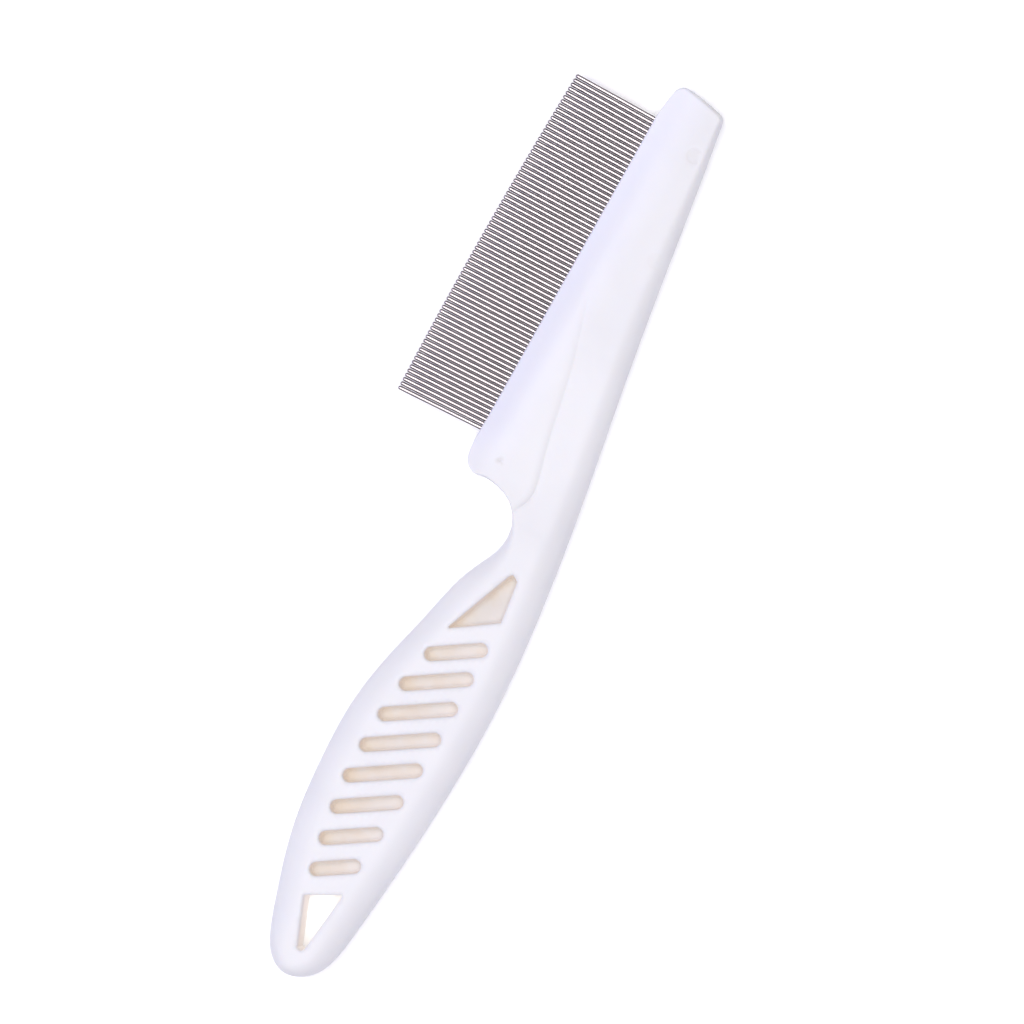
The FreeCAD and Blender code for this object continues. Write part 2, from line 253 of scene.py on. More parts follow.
def spline(knots, rows, at):
    """Natural cubic spline through rows at knots, read at the parameters at."""
    knots, rows, at = np.asarray(knots, float), np.asarray(rows, float), np.asarray(at, float)
    step = np.diff(knots)
    n = len(knots)
    system = np.eye(n)
    right = np.zeros_like(rows)
    for i in range(1, n - 1):
        system[i, i - 1:i + 2] = step[i - 1], 2 * (step[i - 1] + step[i]), step[i]
        right[i] = 6 * ((rows[i + 1] - rows[i]) / step[i] - (rows[i] - rows[i - 1]) / step[i - 1])
    second = np.linalg.solve(system, right)
    i = np.clip(np.searchsorted(knots, at, side="right") - 1, 0, n - 2)
    width = step[i]
    a, b = (knots[i + 1] - at) / width, (at - knots[i]) / width
    if rows.ndim > 1:
        width, a, b = width[:, None], a[:, None], b[:, None]
    bend = ((a**3 - a) * second[i] + (b**3 - b) * second[i + 1]) * width**2 / 6
    return a * rows[i] + b * rows[i + 1] + bend


def through(points, count):
    """A dense smooth line through points, whose first two columns are x and y."""
    points = np.asarray(points, float)
    chords = np.linalg.norm(np.diff(points[:, :2], axis=0), axis=1)
    knots = np.concatenate([[0], np.cumsum(np.sqrt(chords))])
    return spline(knots, points, np.linspace(0, knots[-1], count))


def resampled(line, spacing):
    """The points of an open dense line, spaced by spacing(x, y) along it."""
    lengths = np.linalg.norm(np.diff(line[:, :2], axis=0), axis=1)
    middle = (line[1:, :2] + line[:-1, :2]) / 2
    load = np.concatenate([[0], np.cumsum(lengths / spacing(middle[:, 0], middle[:, 1]))])
    count = int(round(load[-1]))
    at = np.linspace(0, load[-1], count + 1)
    return np.column_stack([np.interp(at, load, line[:, k]) for k in range(line.shape[1])])


def outline_spacing(x, y):
    """Closer points round the corners and where the crease meets the notch."""
    by_crease = np.hypot(x - CREASE_START[0], y - CREASE_START[1]) < CREASE_START_REACH
    by_nose = (x < NOSE_CORNER_X) & (y > NOSE_CORNER_Y[0]) & (y < NOSE_CORNER_Y[1])
    by_corner = (y > TIP_CORNER_Y) | by_nose
    return np.where(by_crease, CREASE_START_STEP, np.where(by_corner, CORNER_STEP, OUTLINE_STEP))


def make_outline():
    """The closed outline as rows of x, y, rounding, and whether the row is on the toothed edge."""
    body = through(SPINE + BUTT + GRIP_FRONT + NOTCH + NOSE, BODY_SAMPLES)
    tip = through(FREE_TIP, TIP_SAMPLES)
    edge = np.linspace(body[-1], tip[0], EDGE_SAMPLES)
    edge[:, 0] -= SIDE_CROWN * np.sin(np.linspace(0, math.pi, len(edge)))
    parts = []
    for line, toothed in ((body, 0.0), (edge, 1.0), (tip, 0.0)):
        rows = resampled(line, outline_spacing)[:-1]
        parts.append(np.column_stack([rows, np.full(len(rows), toothed)]))
    return np.vstack(parts)


OUTLINE = make_outline()
face_height = level_curve(FACE_HEIGHT)
tooth_wall = level_curve(TOOTH_WALL)
plate_step = level_curve(PLATE_STEP)
crease_depth = level_curve(CREASE_DEPTH)
CREASE_Y = [y for _, y in CREASE]
CREASE_X = [x for x, _ in CREASE]


def crease_x(y):
    """Where the crease lies at each y."""
    return spline(CREASE_Y, CREASE_X, np.clip(y, CREASE_Y[0], CREASE_Y[-1]))


# ---------------------------------------------------------------- the handle's upper face


def nearest(points, line):
    """Distance from each point to a polyline, and the line's third column at the nearest place."""
    start, end = line[:-1], line[1:]
    along = end[:, :2] - start[:, :2]
    squared = np.maximum((along**2).sum(1), 1e-12)
    distance = np.empty(len(points))
    value = np.empty(len(points))
    for first in range(0, len(points), BLOCK):
        block = points[first:first + BLOCK]
        offset = block[:, None, :] - start[None, :, :2]
        t = np.clip((offset * along).sum(2) / squared, 0, 1)
        gap = np.linalg.norm(offset - t[..., None] * along, axis=2)
        best = gap.argmin(1)
        rows = np.arange(len(block))
        distance[first:first + BLOCK] = gap[rows, best]
        share = t[rows, best]
        value[first:first + BLOCK] = start[best, 2] * (1 - share) + end[best, 2] * share
    return distance, value


def round_line():
    """The outline without its toothed edge, as an open line."""
    toothed = np.flatnonzero(OUTLINE[:, 3] > 0.5)
    order = np.concatenate([np.arange(toothed[-1] + 1, len(OUTLINE)), np.arange(0, toothed[0] + 1)])
    return OUTLINE[order, :3]


ROUND_LINE = round_line()


def quarter(t):
    """Height of a quarter circle, from 0 at t = 0 to 1 at t = 1."""
    t = np.clip(t, 0, 1)
    return np.sqrt(np.maximum(1 - (1 - t) ** 2, 0))


def bevel(t):
    """Rise of the toothed bevel: a straight slope, then a roll into the flat face."""
    t = np.clip(t, 0, 1)
    slope = 2 / (1 + BEVEL_FLAT_SHARE)
    roll = 1 - slope * (1 - t) ** 2 / (2 * (1 - BEVEL_FLAT_SHARE))
    return np.where(t < BEVEL_FLAT_SHARE, slope * t, roll)


def lower_of(a, b, blend):
    """The lower of two heights, blended smoothly where they cross."""
    mix = np.clip(0.5 + (b - a) / (2 * blend), 0, 1)
    return b * (1 - mix) + a * mix - blend * mix * (1 - mix)


def plate_rise(x, y):
    """How far the head plate stands proud, with its rolled shoulder and the fine line at its foot."""
    side = (x - crease_x(y)) * CREASE_TILT
    t = np.clip(-side / PLATE_SHOULDER, 0, 1)
    shape = t * (2 - t)
    step = plate_step(y) * (y > CREASE_Y[0] - PLATE_OVERRUN)
    line = crease_depth(y) * np.exp(-((side - 0.5 * CREASE_WIDTH) / CREASE_WIDTH) ** 2)
    return step * shape - line * (y > CREASE_Y[0] - LINE_OVERRUN)


def marks(x, y):
    """Depth of the ejector marks and of the small pit."""
    depth = np.zeros_like(x)
    for cx, cy, radius, deep, _ in EJECTOR_MARKS:
        r = np.hypot(x - cx, y - cy)
        depth += deep * np.clip((radius + MARK_SLOPE - r) / (2 * MARK_SLOPE), 0, 1)
    cx, cy, radius, deep, _ = SMALL_PIT
    r = np.hypot(x - cx, y - cy)
    return depth + deep * np.clip(1 - (r / radius) ** 2, 0, 1)


def mark_tints(spots):
    """How much warmer and darker the round marks are drawn."""
    warmth = np.zeros(len(spots))
    for x, y, radius, _, mark_tint in EJECTOR_MARKS + [SMALL_PIT]:
        warmth[np.hypot(spots[:, 0] - x, spots[:, 1] - y) < radius] = mark_tint
    return warmth


def upper_face(points):
    """Height of the handle's upper surface over the parting plane, before pockets are cut."""
    x, y = points[:, 0], points[:, 1]
    distance, rounding = nearest(points, ROUND_LINE)
    face = face_height(y) + plate_rise(x, y)
    rounded = SIDE_WALL + (face - SIDE_WALL) * quarter(distance / rounding)
    lean = TOOTH_EDGE_LEAN * np.clip((y - TOOTH_EDGE_START_Y) / TOOTH_EDGE_RUN, 0, 1)
    inward = np.maximum(x + lean, 0)
    wall = tooth_wall(y)
    lip = TOOTH_EDGE_RADIUS * (quarter(inward / TOOTH_EDGE_RADIUS) - 1)
    toothed = wall + lip + (face - wall) * bevel(inward / BEVEL_WIDTH)
    toothed = np.where(y > BEVEL_START_Y, toothed, face + CLEAR_OF_FACE)
    return lower_of(rounded, toothed, BLEND * quarter(distance / BLEND_FADE) + TINY) - marks(x, y)


# ---------------------------------------------------------------- mesh parts


class Shell:
    """Vertices and faces of the upper half, with the painted warm shade and tint and the painted glow at
    each vertex.
    """

    def __init__(self):
        self.points, self.warmth, self.glow, self.faces = [], [], [], []

    def add(self, points, warmth=0.0, glow=0.0):
        first = len(self.points)
        self.points.extend(map(tuple, points))
        self.glow.extend([glow] * len(points))
        self.warmth.extend(np.broadcast_to(warmth, len(points)).tolist())
        return np.arange(first, first + len(points))

    def strip(self, outer, inner):
        """Quads between two closed rings that run anticlockwise, seen from above."""
        for i in range(len(outer)):
            j = (i + 1) % len(outer)
            self.faces.append((int(outer[i]), int(outer[j]), int(inner[j]), int(inner[i])))


def ring_normals(ring):
    """Unit normals that point to the left of a closed ring's direction."""
    ahead = np.roll(ring, -1, axis=0) - np.roll(ring, 1, axis=0)
    normal = np.column_stack([-ahead[:, 1], ahead[:, 0]])
    return normal / np.linalg.norm(normal, axis=1)[:, None]


def inside(points, ring):
    """Whether each point is in a closed ring."""
    x, y = points[:, 0], points[:, 1]
    result = np.zeros(len(points), bool)
    for (x0, y0), (x1, y1) in zip(ring, np.roll(ring, -1, axis=0)):
        crosses = (y0 > y) != (y1 > y)
        if crosses.any():
            at = x0 + (y - y0) * (x1 - x0) / (y1 - y0 if y1 != y0 else 1e-12)
            result ^= crosses & (x < at)
    return result


def rounded_ring(corners, radius, runs):
    """The corners of a convex core, anticlockwise, widened by radius: arcs joined by sides, each
    with its own number of points."""
    corners = np.asarray(corners, float)
    ahead = np.roll(corners, -1, axis=0) - corners
    heading = np.arctan2(ahead[:, 1], ahead[:, 0])
    ring = []
    for i, corner in enumerate(corners):
        turn = (heading[i] - heading[i - 1]) % (2 * math.pi)
        steps = max(LEAST_ARC_STEPS, int(turn / ARC_STEP))
        for k in range(steps + 1):
            angle = heading[i - 1] - math.pi / 2 + turn * k / steps
            ring.append(corner + radius * np.array([math.cos(angle), math.sin(angle)]))
        outward = heading[i] - math.pi / 2
        push = np.array([math.cos(outward), math.sin(outward)])
        for k in range(1, runs[i]):
            share = k / runs[i]
            crown = 4 * SIDE_CROWN * share * (1 - share)
            ring.append(corner + ahead[i] * share + push * (radius + crown))
    return np.array(ring)


def anticlockwise(corners):
    """A convex polygon's corners in anticlockwise order."""
    corners = np.asarray(corners, float)
    a, b = corners[1] - corners[0], corners[2] - corners[0]
    return corners if a[0] * b[1] > a[1] * b[0] else corners[::-1]


def inset_corners(corners, inset):
    """A convex polygon's corners, moved inwards so that its sides shift by inset."""
    moved = []
    for i, corner in enumerate(corners):
        to_last, to_next = corners[i - 1] - corner, corners[(i + 1) % len(corners)] - corner
        to_last, to_next = to_last / np.linalg.norm(to_last), to_next / np.linalg.norm(to_next)
        half = math.acos(float(to_last @ to_next)) / 2
        bisector = (to_last + to_next) / np.linalg.norm(to_last + to_next)
        moved.append(corner + bisector * inset / math.sin(half))
    return np.array(moved)


def side_runs(corners):
    """How many steps each side of a polygon takes."""
    sides = np.linalg.norm(np.roll(corners, -1, axis=0) - corners, axis=1)
    return [max(1, int(side / RUN_STEP)) for side in sides]


def slot_axis(number):
    """A slot's centre and its direction."""
    centre = np.array([SLOT_CENTRE_X[number], SLOT_FIRST_Y - number * SLOT_PITCH])
    return centre, np.array([math.cos(SLOT_ANGLE), math.sin(SLOT_ANGLE)])


def slot_ring(number):
    """A function that gives the slot's outline, moved inwards by an inset."""
    centre, direction = slot_axis(number)
    half = (SLOT_LENGTH[number] - SLOT_WIDTH) / 2 * direction
    core = np.array([centre - half, centre + half])
    runs = side_runs(core)
    return lambda inset: rounded_ring(core, SLOT_WIDTH / 2 - inset, runs)


def window_ring(corners):
    """A function that gives a window's outline with rounded corners, moved inwards by an inset."""
    corners = anticlockwise(corners)
    runs = side_runs(inset_corners(corners, WINDOW_CORNER))

    def ring(inset):
        radius = max(WINDOW_CORNER - inset, LEAST_CORNER)
        return rounded_ring(inset_corners(corners, inset + radius), radius, runs)

    return ring


def quarter_turns(count):
    """Angles from 0 to a right angle, in count steps."""
    return [math.pi / 2 * k / count for k in range(count + 1)]


def cut_rim(shell, ring_at):
    """The rolled rim of a pocket or hole. Gives its rings, from the face inwards."""
    top = upper_face(ring_at(-RIM_RADIUS))
    rings = []
    for turn in quarter_turns(RIM_STEPS):
        ring = ring_at(-RIM_RADIUS * math.sin(math.pi / 2 - turn))
        height = top - RIM_RADIUS * (1 - math.cos(turn))
        # Painted glow rises round the rim towards the wall.
        rings.append(shell.add(np.column_stack([ring, height]), 0.0, RIM_PAINTED_GLOW * math.sin(turn)))
    return rings, top - RIM_RADIUS


def join(shell, rings):
    """Quads between each ring and the next."""
    for outer, inner in zip(rings, rings[1:]):
        shell.strip(outer, inner)


def cut_hole(shell, ring_at):
    """A hole that narrows down to the parting plane. Gives its rim."""
    rings, edge = cut_rim(shell, ring_at)
    for share in HOLE_WALL_SHARES:
        ring = ring_at(HOLE_DRAFT * share)
        # The hole's walls carry painted warm shade and painted glow.
        rings.append(shell.add(np.column_stack([ring, edge * (1 - share)]), HOLE_PAINTED_SHADE, HOLE_PAINTED_GLOW))
    join(shell, rings)
    return rings[0]


def cut_pocket(shell, ring_at, warmth):
    """A pocket with drafted walls that roll into a flat floor. Gives its rim."""
    rings, edge = cut_rim(shell, ring_at)
    foot = WEB_HALF + FLOOR_RADIUS
    for share in POCKET_WALL_SHARES:
        ring = ring_at(POCKET_DRAFT * share)
        height = edge * (1 - share) + foot * share
        # The wall's painted warm shade grows from its top down to the floor.
        warm = warmth(ring) * (WALL_PAINTED_SHADE_AT_TOP + share)
        rings.append(shell.add(np.column_stack([ring, height]), warm, WALL_PAINTED_GLOW))
    for turn in quarter_turns(FLOOR_STEPS):
        ring = ring_at(POCKET_DRAFT + FLOOR_RADIUS * (1 - math.cos(turn)))
        height = np.full(len(ring), foot - FLOOR_RADIUS * math.sin(turn))
        rings.append(shell.add(np.column_stack([ring, height]), warmth(ring), WALL_PAINTED_GLOW * math.cos(turn)))
    join(shell, rings)
    fill(shell, rings[-1], [], [], lambda spots: np.full(len(spots), WEB_HALF), warmth)
    return rings[0]


def slot_warmth(number):
    """Painted warm shade on the thin web: most at the slot's front end."""
    centre, direction = slot_axis(number)

    def warmth(spots):
        along = (spots - centre) @ direction / SLOT_LENGTH[number]
        ends = np.clip(np.abs(along) * 2 - SLOT_END_START, 0, 1) * SLOT_END_PAINTED_SHADE
        return SLOT_PAINTED_SHADE - SLOT_PAINTED_SHADE_FALL * along + ends

    return warmth


def recess_warmth(spots):
    """Painted warm shade in the recess: most along its long front side."""
    (x0, y0), (x1, y1) = RECESS[0], RECESS[-1]
    length = math.hypot(x1 - x0, y1 - y0)
    away = ((spots[:, 0] - x0) * (y1 - y0) - (spots[:, 1] - y0) * (x1 - x0)) / length
    return RECESS_PAINTED_SHADE + RECESS_SIDE_PAINTED_SHADE * np.clip(1 - np.abs(away) / RECESS_SIDE_WIDTH, 0, 1)


def lattice(ring, step):
    """Points of a triangular lattice inside a ring."""
    low, high = ring.min(0), ring.max(0)
    rows = np.arange(low[1], high[1], step * math.sqrt(3) / 2)
    points = []
    for number, y in enumerate(rows):
        xs = np.arange(low[0] + (number % 2) * step / 2, high[0], step)
        points.append(np.column_stack([xs, np.full(len(xs), y)]))
    points = np.vstack(points)
    return points[inside(points, ring)]


def far_from(points, line, gap):
    """The points that are more than gap from a line of points."""
    keep = np.ones(len(points), bool)
    for first in range(0, len(points), BLOCK):
        block = points[first:first + BLOCK]
        away = np.linalg.norm(block[:, None, :] - line[None, :, :], axis=2).min(1)
        keep[first:first + BLOCK] = away > gap
    return points[keep]


def fill(shell, border, holes, details, height, warmth):
    """Triangles inside a border ring and outside the hole rings, with points at the details too."""
    plan = np.array(shell.points)[:, :2]
    ring = plan[border]
    hole_rings = [plan[hole] for hole in holes]
    step = GRID_STEP if holes else POCKET_GRID_STEP
    free = far_from(lattice(ring, step), ring, BORDER_CLEARANCE * step)
    for hole in hole_rings:
        free = free[~inside(free, hole)]
        free = far_from(free, hole, HOLE_CLEARANCE * step)
    if len(details):
        free = far_from(free, details, DETAIL_CLEARANCE)
        details = far_from(details[inside(details, ring)], ring, DETAIL_BORDER_CLEARANCE)
        free = np.vstack([free, details])
    coords = [ring] + hole_rings + [free]
    known = [border] + list(holes)
    sizes = np.cumsum([0] + [len(c) for c in coords]).tolist()
    edges = []
    for first, last in zip(sizes, sizes[1:len(known) + 1]):
        edges += [(k, k + 1) for k in range(first, last - 1)] + [(last - 1, first)]
    flat = [Vector(p) for p in np.vstack(coords)]
    found, _, triangles, sources, _, _ = delaunay_2d_cdt(flat, edges, [], 0, MERGE_DISTANCE)
    place_of = np.full(len(found), -1)
    known_ids = np.concatenate(known)
    for k, source in enumerate(sources):
        if source and source[0] < len(known_ids):
            place_of[k] = known_ids[source[0]]
    fresh = np.flatnonzero(place_of < 0)
    if len(fresh):
        spots = np.array([found[k] for k in fresh])
        place_of[fresh] = shell.add(np.column_stack([spots, height(spots)]), warmth(spots))
    centres = np.array([sum((found[k] for k in t), Vector((0, 0))) / 3 for t in triangles])
    keep = inside(centres, ring)
    for hole in hole_rings:
        keep &= ~inside(centres, hole)
    for wanted, triangle in zip(keep, triangles):
        if wanted:
            shell.faces.append(tuple(int(place_of[k]) for k in triangle))


def crease_points():
    """Points along the crease at set distances, close enough to carry its shoulder and fine line."""
    ys = np.arange(CREASE_Y[0] - LINE_OVERRUN, CREASE_Y[-1] + CREASE_END, CREASE_STEP)
    return np.vstack([np.column_stack([crease_x(ys) + side / CREASE_TILT, ys]) for side in CREASE_SIDES])


def mark_points():
    """Points on both edges of the round marks."""
    edges = (-MARK_SLOPE, MARK_SLOPE)
    rings = [(x, y, radius + edge) for x, y, radius, *_ in EJECTOR_MARKS for edge in edges]
    x, y, radius, *_ = SMALL_PIT
    rings += [(x, y, share * radius) for share in PIT_SHARES]
    points = []
    for x, y, radius in rings:
        turns = np.arange(0, 2 * math.pi, MARK_STEP / max(radius, LEAST_MARK_RADIUS))
        points.append(np.column_stack([x + radius * np.cos(turns), y + radius * np.sin(turns)]))
    return np.vstack(points)


def safe_depth(ring, normals, wanted):
    """How far each ring point can move along its normal before it nears another part of the ring."""
    closed = np.column_stack([np.vstack([ring, ring[:1]]), np.zeros(len(ring) + 1)])
    depth = np.full(len(ring), wanted)
    for share in DEPTH_TRIALS:
        trial = wanted * share
        away, _ = nearest(ring + normals * trial, closed)
        bad = (away < DEPTH_PASS * trial) & (depth >= trial - 1e-9)
        depth[bad] = trial * DEPTH_MARGIN
    spread = np.minimum.reduce([np.roll(depth, k) for k in range(-DEPTH_SPREAD, DEPTH_SPREAD + 1)])
    return np.mean([np.roll(spread, k) for k in range(-DEPTH_SMOOTH, DEPTH_SMOOTH + 1)], axis=0)


def handle_shell():
    """The upper half of the handle's skin."""
    shell = Shell()
    ring = OUTLINE[::-1, :2]
    normals = ring_normals(ring)
    depth = safe_depth(ring, normals, RING_INSETS[-1])
    rings = []
    seam = ring - normals * SEAM_OUTSET
    rings.append(shell.add(np.column_stack([seam, np.zeros(len(ring))])))
    rings.append(shell.add(np.column_stack([ring, np.full(len(ring), SEAM_HEIGHT)])))
    for inset in RING_INSETS:
        moved = ring + normals * (depth * inset / RING_INSETS[-1])[:, None]
        rings.append(shell.add(np.column_stack([moved, upper_face(moved)])))
    join(shell, rings)
    slots = range(len(SLOT_LENGTH))
    rims = [cut_pocket(shell, slot_ring(number), slot_warmth(number)) for number in slots]
    rims.append(cut_pocket(shell, window_ring(RECESS), recess_warmth))
    rims.append(cut_hole(shell, window_ring(HANG_HOLE)))
    details = np.vstack([crease_points(), mark_points()])
    fill(shell, rings[-1], rims, details, upper_face, mark_tints)
    return shell


def new_object(name, points, faces):
    """A linked mesh object made from row-frame points and faces."""
    mesh = bpy.data.meshes.new(name)
    mesh.from_pydata([tuple(p) for p in points], [], faces)
    mesh.validate()
    made = bpy.data.objects.new(name, mesh)
    bpy.context.scene.collection.objects.link(made)
    return made


def make_handle():
    """The handle's skin: the upper half and its mirror image, which share the vertices of the seam."""
    shell = handle_shell()
    upper = np.array(shell.points)
    mirrored = upper[:, 2] >= SEAM_LIMIT
    lower_id = np.where(mirrored, len(upper) - 1 + np.cumsum(mirrored), np.arange(len(upper)))
    points = np.vstack([upper, upper[mirrored] * (1, 1, -1)])
    warmth = np.concatenate([shell.warmth, np.array(shell.warmth)[mirrored]])
    glow = np.concatenate([shell.glow, np.array(shell.glow)[mirrored]])
    x, y = points[:, 0], points[:, 1]
    # Painted cool light on the thin edge by the teeth, kept off the pockets and the hole.
    near_teeth = np.clip(1 - x / PAINTED_COOL_LIGHT_WIDTH, 0, 1) * np.clip((y + PAINTED_COOL_LIGHT_FADE) / PAINTED_COOL_LIGHT_FADE, 0, 1)
    painted_cool_light = near_teeth * (warmth == 0)
    faces = list(shell.faces) + [tuple(int(lower_id[k]) for k in face[::-1]) for face in shell.faces]
    made = new_object("handle_skin", place(points), faces)
    # Painted warm shade and tint, painted cool light and painted glow go to the material as vertex
    # attributes.
    for name, values in (("warmth", warmth), ("painted_cool_light", painted_cool_light), ("glow", glow)):
        attribute = made.data.attributes.new(name, "FLOAT", "POINT")
        attribute.data.foreach_set("value", values.astype(np.float32))
    made.data.shade_smooth()
    made.data.set_sharp_from_angle(angle=HANDLE_SHARP)
    return made


def make_pin(index):
    """One tooth: a wire with a domed tip and a flat root."""
    share = index / (PIN_COUNT - 1)
    angle = FAN_AT_GRIP + (FAN_AT_TIP - FAN_AT_GRIP) * share
    y = FIRST_PIN_Y + index * PIN_PITCH
    bow = TIP_LINE_BOW * ((y - TIP_LINE_MIDDLE_Y) / TIP_LINE_HALF_LENGTH) ** 2
    direction = np.array([math.cos(angle), math.sin(angle), 0.0])
    tip = np.array([0.0, y, 0.0]) + direction * (TIP_LINE_X + bow) / direction[0]
    sideways = np.array([-direction[1], direction[0], 0.0])
    upwards = np.array([0.0, 0.0, 1.0])
    dome = quarter_turns(DOME_STEPS)[1:]
    rings = [(PIN_RADIUS * (1 - math.cos(turn)), PIN_RADIUS * math.sin(turn)) for turn in dome]
    rings += [(station, PIN_RADIUS) for station in PIN_STATIONS]
    points = [tip]
    for reach, radius in rings:
        for k in range(PIN_SIDES):
            turn = 2 * math.pi * k / PIN_SIDES
            spoke = math.cos(turn) * sideways + math.sin(turn) * upwards
            points.append(tip + direction * reach + radius * spoke)
    points.append(tip + direction * PIN_LENGTH)
    around = [(k, (k + 1) % PIN_SIDES) for k in range(PIN_SIDES)]
    faces = [(0, 1 + j, 1 + k) for k, j in around]
    for ring in range(len(rings) - 1):
        base = 1 + ring * PIN_SIDES
        above = base + PIN_SIDES
        faces += [(base + k, base + j, above + j, above + k) for k, j in around]
    base = 1 + (len(rings) - 1) * PIN_SIDES
    last = len(points) - 1
    faces += [(last, base + k, base + j) for k, j in around]
    made = new_object(f"tooth_pin_{index + 1:02d}", place(points), faces)
    made.data.shade_smooth()
    made.data.set_sharp_from_angle(angle=PIN_SHARP)
    return made


# ---------------------------------------------------------------- materials

CLOUD_WHITES = [(0.735, 0.73, 0.745), (0.765, 0.76, 0.77)]
# Painted cool light: lavender, brighter white on the thin edge by the teeth.
PAINTED_COOL_LIGHT_WHITE = (0.80, 0.80, 0.88)
# Painted warm shade: darker warm white and beige that stand in for light through the thin plastic and
# shade in the pockets; the round marks' tint uses the warm white too.
PAINTED_SHADE_AND_TINT_WHITE = (0.60, 0.57, 0.555)
PAINTED_SHADE_BEIGE = (0.58, 0.485, 0.39)
# Painted glow: warm emission on hole, pocket and rim walls, standing in for light that comes through the
# thin plastic.
PAINTED_GLOW_COLOUR = (1.0, 0.86, 0.76)
PAINTED_GLOW_STRENGTH = 0.3
BRIGHT_STEELS = [(0.66, 0.59, 0.605), (0.55, 0.485, 0.5)]
# Painted shade: near-black colour on the pins' flanks that face each other.
FLANK_PAINTED_SHADE = (0.03, 0.02, 0.023)
FLANK_FROM, FLANK_TO = 0.21 * MM, 0.32 * MM  # heights from the pins' axis where the flanks' painted shade turns into the metal's own colour
FLANK_WANDER = 0.03 * MM  # of that line along the wire
PAPER_WHITES = [(0.96, 0.96, 0.96), (0.98, 0.98, 0.98)]
PAPER_GLOW = 0.16


def node(tree, kind, **inputs):
    made = tree.nodes.new(kind)
    for name, value in inputs.items():
        made.inputs[name.replace("_", " ")].default_value = value
    return made


def noise(tree, vector, scale, detail=3.0, roughness=0.5):
    made = node(tree, "ShaderNodeTexNoise", Scale=scale, Detail=detail, Roughness=roughness)
    tree.links.new(vector, made.inputs["Vector"])
    return made.outputs["Fac"]


def ramp(tree, value, low, high, start=0.0, end=1.0):
    """value from low..high mapped to start..end and held there."""
    made = node(tree, "ShaderNodeMapRange")
    made.clamp = True
    for name, number in (("From Min", low), ("From Max", high), ("To Min", start), ("To Max", end)):
        made.inputs[name].default_value = number
    tree.links.new(value, made.inputs["Value"])
    return made.outputs["Result"]


def spread(tree, value, start=0.0, end=1.0):
    """The middle range of a noise mapped to start..end."""
    return ramp(tree, value, 0.3, 0.7, start, end)


def math_node(tree, operation, a, b=None):
    made = tree.nodes.new("ShaderNodeMath")
    made.operation = operation
    for slot, value in ((0, a), (1, b)):
        if value is None:
            continue
        if isinstance(value, (int, float)):
            made.inputs[slot].default_value = value
        else:
            tree.links.new(value, made.inputs[slot])
    return made.outputs[0]


def mixed(tree, factor, a, b):
    """Colour a where factor is 0, b where it is 1."""
    made = tree.nodes.new("ShaderNodeMix")
    made.data_type = "RGBA"
    tree.links.new(factor, made.inputs[0])
    for slot, value in ((6, a), (7, b)):
        if isinstance(value, tuple):
            made.inputs[slot].default_value = (*value, 1.0)
        else:
            tree.links.new(value, made.inputs[slot])
    return made.outputs[2]


def new_material(name):
    material = bpy.data.materials.new(name)
    material.use_nodes = True
    tree = material.node_tree
    shader = tree.nodes["Principled BSDF"]
    coordinates = tree.nodes.new("ShaderNodeTexCoord").outputs["Object"]
    return material, tree, shader, coordinates


def named(tree, name):
    """The value of a mesh attribute."""
    made = tree.nodes.new("ShaderNodeAttribute")
    made.attribute_name = name
    return made.outputs["Fac"]


def bumped(tree, shader, height, strength, distance):
    bump = node(tree, "ShaderNodeBump", Strength=strength, Distance=distance)
    tree.links.new(height, bump.inputs["Height"])
    tree.links.new(bump.outputs["Normal"], shader.inputs["Normal"])


def plastic_material():
    """White moulded polypropylene, satin and faintly cloudy, with painted light: a darker warm shade in
    the pockets and the hole for light passed through the thin web, a lavender, brighter tint on the thin
    edge for cool light, and an emitted glow on the walls.
    """
    material, tree, shader, at = new_material("white_plastic")
    cloud = noise(tree, at, 45.0, 3.0)
    white = mixed(tree, ramp(tree, cloud, 0.35, 0.65), *CLOUD_WHITES)
    # Painted cool light: lavender, brighter white on the thin edge by the teeth.
    edge = mixed(tree, named(tree, "painted_cool_light"), white, PAINTED_COOL_LIGHT_WHITE)
    # Painted warm shade in the pockets and the hole, and the round marks' tint.
    warmth = named(tree, "warmth")
    patches = noise(tree, at, 260.0, 4.0, 0.6)
    patchy_painted_shade = math_node(tree, "ADD", warmth, spread(tree, patches, -0.2, 0.2))
    pale = mixed(tree, ramp(tree, warmth, 0.0, 0.4), edge, PAINTED_SHADE_AND_TINT_WHITE)
    colour = mixed(tree, ramp(tree, patchy_painted_shade, 0.4, 1.1), pale, PAINTED_SHADE_BEIGE)
    tree.links.new(colour, shader.inputs["Base Color"])
    # Painted glow: the walls emit warm light though they are no lamp.
    shader.inputs["Emission Color"].default_value = (*PAINTED_GLOW_COLOUR, 1.0)
    strength = math_node(tree, "MULTIPLY", named(tree, "glow"), PAINTED_GLOW_STRENGTH)
    tree.links.new(strength, shader.inputs["Emission Strength"])
    fine = noise(tree, at, 1800.0, 4.0, 0.6)
    broad = noise(tree, at, 160.0, 3.0)
    satin = spread(tree, fine, 0.41, 0.49)
    handled = spread(tree, broad, -0.03, 0.05)
    tree.links.new(math_node(tree, "ADD", satin, handled), shader.inputs["Roughness"])
    height = math_node(tree, "ADD", math_node(tree, "MULTIPLY", fine, 0.12), broad)
    bumped(tree, shader, height, 0.12, 0.00025)
    shader.inputs["Subsurface Weight"].default_value = 0.25
    shader.inputs["Subsurface Radius"].default_value = (1.0, 0.75, 0.55)
    shader.inputs["Subsurface Scale"].default_value = 0.0016
    shader.inputs["IOR"].default_value = 1.49
    shader.inputs["Specular IOR Level"].default_value = 0.3
    return material


